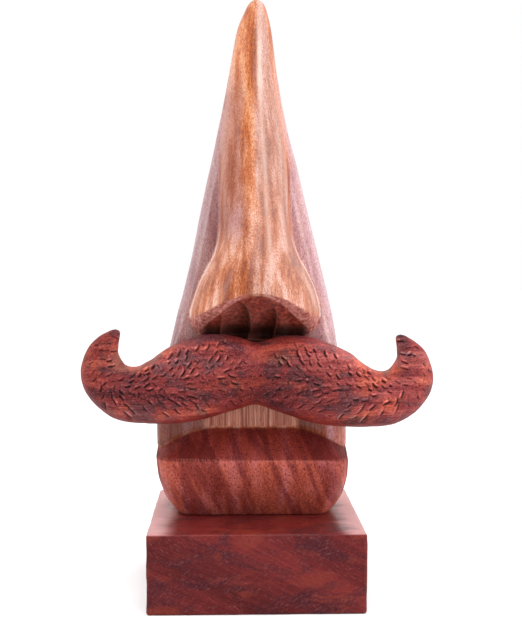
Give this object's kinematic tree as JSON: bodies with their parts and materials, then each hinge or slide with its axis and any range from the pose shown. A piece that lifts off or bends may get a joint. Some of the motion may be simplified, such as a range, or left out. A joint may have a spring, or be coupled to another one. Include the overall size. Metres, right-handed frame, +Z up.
{
  "type": "eyeglasses display stand",
  "caption": "Carved wooden stand shaped as a nose with a curled handlebar moustache on a rectangular base; holds one pair of spectacles on the bridge of the nose.",
  "frame": {"origin": "centre of the underside of the base block", "axes": "+Z up; the carved face looks along -Y; +X is on the right of someone who looks at the face"},
  "size_m": [0.095, 0.058, 0.1684],
  "materials": {
    "base_wood": "dark red-brown rosewood with a thin satin lacquer",
    "post_wood": "orange-brown sheesham under glossy lacquer",
    "moustache_wood": "deep red-brown sheesham, oiled, with short gouge cuts",
    "dowel_wood": "plain beech",
    "screw_steel": "bright zinc"
  },
  "bodies": {
    "root": {"base_block": "base_wood", "nose_post": "post_wood", "moustache": "moustache_wood", "moustache_dowel_left": "dowel_wood", "moustache_dowel_right": "dowel_wood", "base_screw_left": "screw_steel", "base_screw_right": "screw_steel"}
  },
  "joints": []
}
